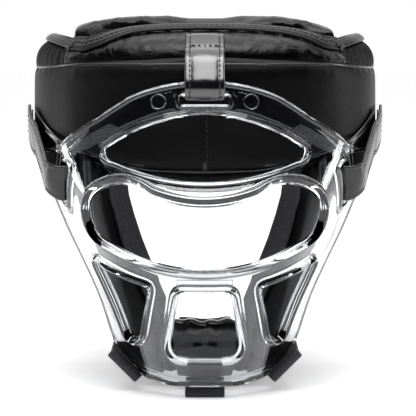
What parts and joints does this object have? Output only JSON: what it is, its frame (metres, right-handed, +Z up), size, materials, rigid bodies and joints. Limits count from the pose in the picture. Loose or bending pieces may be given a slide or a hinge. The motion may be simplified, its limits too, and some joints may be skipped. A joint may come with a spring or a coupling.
{
  "type": "boxing headgear",
  "caption": "Padded black head guard with a pull-off clear face mask held by hook-and-loop straps, for boxing and martial arts sparring.",
  "frame": {"origin": "centre of the head opening, on the surface that the guard stands on", "axes": "+Z up, the face looks along -Y, and the wearer's left is +X"},
  "size_m": [0.2416, 0.289, 0.2408],
  "materials": {
    "pad_leather": "matt grained synthetic leather",
    "strap_leather": "glossy coated synthetic leather",
    "piping": "satin piping",
    "foam": "closed-cell foam",
    "black_lining": "brushed lining",
    "cream_lining": "cream cotton lining",
    "webbing": "ribbed nylon webbing",
    "hook_tape": "hook tape",
    "loop_tape": "napped loop tape",
    "clear_polycarbonate": "clear moulded polycarbonate"
  },
  "bodies": {
    "guard": {"brow_loop_patch": "loop_tape", "chin_cover": "pad_leather", "chin_foam": "foam", "chin_lining": "black_lining", "chin_loop_patch": "loop_tape", "crown_front_binding": "piping", "crown_front_lining": "cream_lining", "crown_front_panel": "pad_leather", "crown_rear_cover": "pad_leather", "crown_rear_foam": "foam", "crown_rear_lining": "black_lining", "forehead_cover": "pad_leather", "forehead_foam": "foam", "forehead_lining": "black_lining", "left_cheek_cover": "pad_leather", "left_cheek_foam": "foam", "left_cheek_lining": "black_lining", "left_crown_side_panel": "pad_leather", "left_ear_cover": "pad_leather", "left_ear_foam": "foam", "left_ear_lining": "black_lining", "left_jaw_loop_patch": "loop_tape", "left_rear_cover": "pad_leather", "left_rear_foam": "foam", "left_rear_lining": "black_lining", "left_temple_loop_patch": "loop_tape", "rear_loop_patch": "loop_tape", "right_cheek_cover": "pad_leather", "right_cheek_foam": "foam", "right_cheek_lining": "black_lining", "right_crown_side_panel": "pad_leather", "right_ear_cover": "pad_leather", "right_ear_foam": "foam", "right_ear_lining": "black_lining", "right_jaw_loop_patch": "loop_tape", "right_rear_cover": "pad_leather", "right_rear_foam": "foam", "right_rear_lining": "black_lining", "right_temple_loop_patch": "loop_tape", "top_loop_patch": "loop_tape"},
    "mask": {"mask_shell": "clear_polycarbonate", "mask_front_bar": "clear_polycarbonate"},
    "brow_strap": {"brow_strap": "strap_leather", "brow_hook_patch": "hook_tape"},
    "left_temple_strap": {"left_temple_strap": "strap_leather", "left_temple_hook_patch": "hook_tape"},
    "right_temple_strap": {"right_temple_strap": "strap_leather", "right_temple_hook_patch": "hook_tape"},
    "chin_strap": {"chin_strap": "webbing", "chin_hook_patch": "hook_tape"},
    "left_jaw_strap": {"left_jaw_strap": "webbing", "left_jaw_hook_patch": "hook_tape"},
    "right_jaw_strap": {"right_jaw_strap": "webbing", "right_jaw_hook_patch": "hook_tape"},
    "top_strap": {"top_strap": "strap_leather", "top_hook_patch": "hook_tape"},
    "rear_strap": {"rear_strap": "strap_leather", "rear_hook_patch": "hook_tape"}
  },
  "joints": [
    {"name": "mask_pull_off", "type": "slide", "parent": "guard", "child": "mask", "axis": [0, -1, 0], "range_m": [0, 0.2]},
    {"name": "brow_strap_peel", "type": "hinge", "parent": "mask", "child": "brow_strap", "pos_m": [0, -0.133, 0.1952], "axis": [1, 0, 0], "range_deg": [0, 110]},
    {"name": "left_temple_strap_peel", "type": "hinge", "parent": "mask", "child": "left_temple_strap", "pos_m": [0.0917, -0.0885, 0.136], "axis": [0, 0.4067, -0.9135], "range_deg": [0, 100]},
    {"name": "right_temple_strap_peel", "type": "hinge", "parent": "mask", "child": "right_temple_strap", "pos_m": [-0.0917, -0.0885, 0.136], "axis": [0, -0.4067, 0.9135], "range_deg": [0, 100]},
    {"name": "chin_strap_peel", "type": "hinge", "parent": "mask", "child": "chin_strap", "pos_m": [0, -0.127, 0.0032], "axis": [-1, 0, 0], "range_deg": [0, 90]},
    {"name": "left_jaw_strap_peel", "type": "hinge", "parent": "mask", "child": "left_jaw_strap", "pos_m": [0.0535, -0.103, 0.0125], "axis": [-0.7071, 0, -0.7071], "range_deg": [0, 90]},
    {"name": "right_jaw_strap_peel", "type": "hinge", "parent": "mask", "child": "right_jaw_strap", "pos_m": [-0.0535, -0.103, 0.0125], "axis": [-0.7071, 0, 0.7071], "range_deg": [0, 90]},
    {"name": "top_strap_peel", "type": "hinge", "parent": "guard", "child": "top_strap", "pos_m": [0, -0.07, 0.231], "axis": [1, 0, 0], "range_deg": [0, 90]},
    {"name": "rear_strap_peel", "type": "hinge", "parent": "guard", "child": "rear_strap", "pos_m": [0.0397, 0.12498, 0.145], "axis": [0, 0, -1], "range_deg": [0, 110]}
  ]
}
